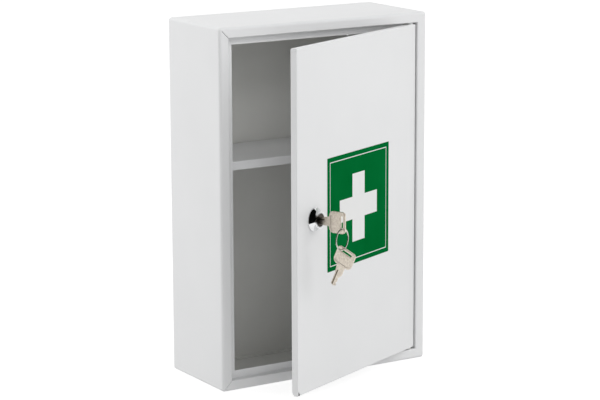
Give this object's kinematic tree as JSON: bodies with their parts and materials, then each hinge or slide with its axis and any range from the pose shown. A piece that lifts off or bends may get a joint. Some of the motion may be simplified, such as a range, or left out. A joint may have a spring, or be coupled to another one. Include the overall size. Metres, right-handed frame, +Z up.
{
  "type": "lockable medicine cabinet",
  "caption": "Wall-hung sheet-steel first-aid cabinet with a flush hinged door, one shelf, a cam lock with its key in and a spare key on a ring.",
  "frame": {"origin": "centre of the case's underside, on the surface it can stand on", "axes": "+Z up, +Y to the wall, -Y to the front, +X to the hinge side"},
  "size_m": [0.24, 0.2172, 0.36],
  "materials": {
    "white_coat": "fine satin powder coat",
    "zinc": "bright zinc plate",
    "bezel_chrome": "polished chrome",
    "plug_metal": "dull die-cast zinc",
    "wafer_brass": "stamped",
    "key_nickel": "dull nickel plate",
    "ring_nickel": "bright nickel plate",
    "bush_nylon": "natural nylon",
    "film_white": "satin vinyl film",
    "print_green": "satin green print"
  },
  "bodies": {
    "cabinet": {"case_wrap": "white_coat", "back_panel": "white_coat", "shelf": "white_coat", "shelf_rail_left": "white_coat", "shelf_rail_right": "white_coat", "hinge_pin_upper": "zinc", "hinge_pin_lower": "zinc"},
    "door": {"door_panel": "white_coat", "hinge_bush_upper": "bush_nylon", "hinge_bush_lower": "bush_nylon", "sign_film": "film_white", "sign_print": "print_green", "lock_housing": "bezel_chrome", "lock_washer": "zinc", "lock_nut": "zinc"},
    "plug": {"lock_plug": "plug_metal", "lock_cam": "zinc", "cam_washer": "zinc", "cam_screw": "zinc", "wafers": "wafer_brass", "wafer_springs": "zinc"},
    "key": {"lock_key": "key_nickel"},
    "ring": {"key_ring": "ring_nickel"},
    "spare": {"spare_key": "key_nickel"}
  },
  "joints": [
    {"name": "door_swing", "type": "hinge", "parent": "cabinet", "child": "door", "pos_m": [0.10275, -0.046, 0.18], "axis": [0, 0, 1], "range_deg": [-24.5, 85.5]},
    {"name": "lock_turn", "type": "hinge", "parent": "door", "child": "plug", "pos_m": [-0.06029, -0.1247, 0.181], "axis": [-0.4147, 0.91, 0], "range_deg": [0, 90]},
    {"name": "key_pull", "type": "slide", "parent": "plug", "child": "key", "axis": [0.4147, -0.91, 0], "range_m": [0, 0.025]},
    {"name": "ring_swing", "type": "hinge", "parent": "key", "child": "ring", "pos_m": [-0.04727, -0.15327, 0.17535], "axis": [0.91, 0.4147, 0], "range_deg": [-30, 8]},
    {"name": "spare_key_swing", "type": "hinge", "parent": "ring", "child": "spare", "pos_m": [-0.04727, -0.15327, 0.15485], "axis": [0.91, 0.4147, 0], "range_deg": [-30, 8]}
  ]
}
